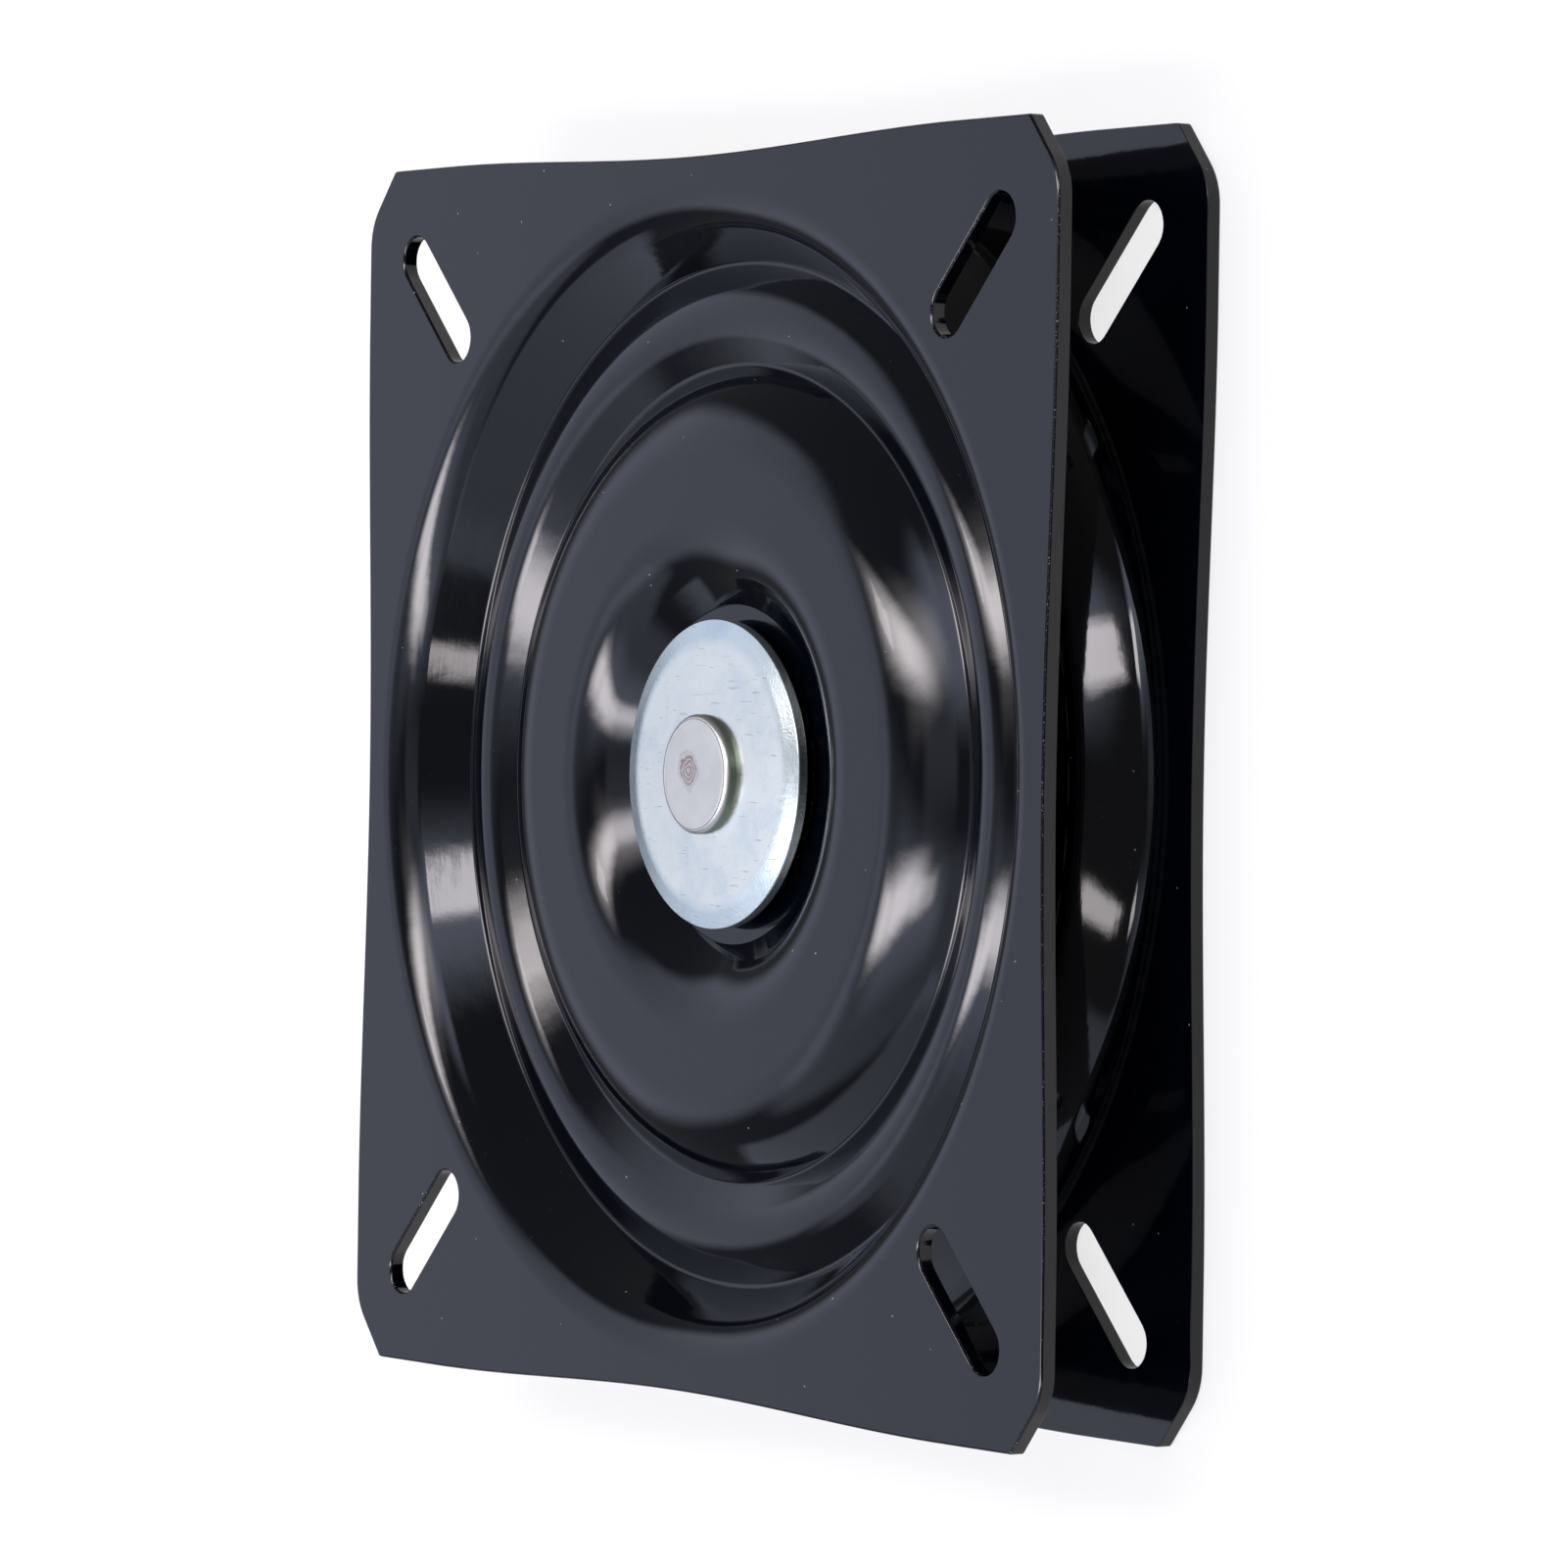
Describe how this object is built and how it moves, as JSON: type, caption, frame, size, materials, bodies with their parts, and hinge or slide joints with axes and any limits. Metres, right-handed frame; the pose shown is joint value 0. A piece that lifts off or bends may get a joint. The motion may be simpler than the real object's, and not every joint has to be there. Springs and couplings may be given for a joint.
{
  "type": "lazy susan bearing",
  "caption": "Square swivel bearing of two black pressed steel plates with diagonal corner slots, turning on a full ring of steel balls about a plated centre rivet and washer.",
  "frame": {"origin": "centre of the lowest plane, under the rivet, on the lower plate's mounting face", "axes": "+Z is the turning axis and points from the lower plate to the upper plate; X and Y run along the sides of the plates at rest"},
  "size_m": [0.2, 0.2, 0.03],
  "materials": {
    "black_paint": "gloss black stoved paint on pressed steel sheet, with fine dust and light rubs",
    "greased_steel": "polished bearing balls under a film of dark grease",
    "zinc_plate": "bright blue-white zinc plating with fine wear",
    "plain_steel": "turned steel, lightly oiled"
  },
  "bodies": {
    "base": {"bottom_plate": "black_paint", "rivet": "zinc_plate", "washer": "zinc_plate", "spacer_sleeve": "plain_steel"},
    "turntable": {"top_plate": "black_paint"},
    "load_ring": {"load_ball_01": "greased_steel", "load_ball_02": "greased_steel", "load_ball_03": "greased_steel", "load_ball_04": "greased_steel", "load_ball_05": "greased_steel", "load_ball_06": "greased_steel", "load_ball_07": "greased_steel", "load_ball_08": "greased_steel", "load_ball_09": "greased_steel", "load_ball_10": "greased_steel", "load_ball_11": "greased_steel", "load_ball_12": "greased_steel", "load_ball_13": "greased_steel", "load_ball_14": "greased_steel", "load_ball_15": "greased_steel", "load_ball_16": "greased_steel", "load_ball_17": "greased_steel", "load_ball_18": "greased_steel", "load_ball_19": "greased_steel", "load_ball_20": "greased_steel", "load_ball_21": "greased_steel", "load_ball_22": "greased_steel", "load_ball_23": "greased_steel", "load_ball_24": "greased_steel", "load_ball_25": "greased_steel", "load_ball_26": "greased_steel", "load_ball_27": "greased_steel", "load_ball_28": "greased_steel", "load_ball_29": "greased_steel", "load_ball_30": "greased_steel", "load_ball_31": "greased_steel", "load_ball_32": "greased_steel", "load_ball_33": "greased_steel", "load_ball_34": "greased_steel", "load_ball_35": "greased_steel", "load_ball_36": "greased_steel", "load_ball_37": "greased_steel", "load_ball_38": "greased_steel", "load_ball_39": "greased_steel", "load_ball_40": "greased_steel", "load_ball_41": "greased_steel", "load_ball_42": "greased_steel", "load_ball_43": "greased_steel", "load_ball_44": "greased_steel", "load_ball_45": "greased_steel", "load_ball_46": "greased_steel", "load_ball_47": "greased_steel", "load_ball_48": "greased_steel"},
    "hold_ring": {"hold_down_balls": "greased_steel"}
  },
  "joints": [
    {"name": "swivel", "type": "hinge", "parent": "base", "child": "turntable", "pos_m": [0, 0, 0.01499], "axis": [0, 0, 1], "continuous": true},
    {"name": "load_orbit", "type": "hinge", "parent": "base", "child": "load_ring", "pos_m": [0, 0, 0.01499], "axis": [0, 0, 1], "continuous": true},
    {"name": "hold_orbit", "type": "hinge", "parent": "base", "child": "hold_ring", "pos_m": [0, 0, 0.01499], "axis": [0, 0, 1], "continuous": true}
  ],
  "couplings": [
    {"joint": "load_orbit", "follows": "swivel", "ratio": 0.5},
    {"joint": "hold_orbit", "follows": "swivel", "ratio": 0.5}
  ]
}
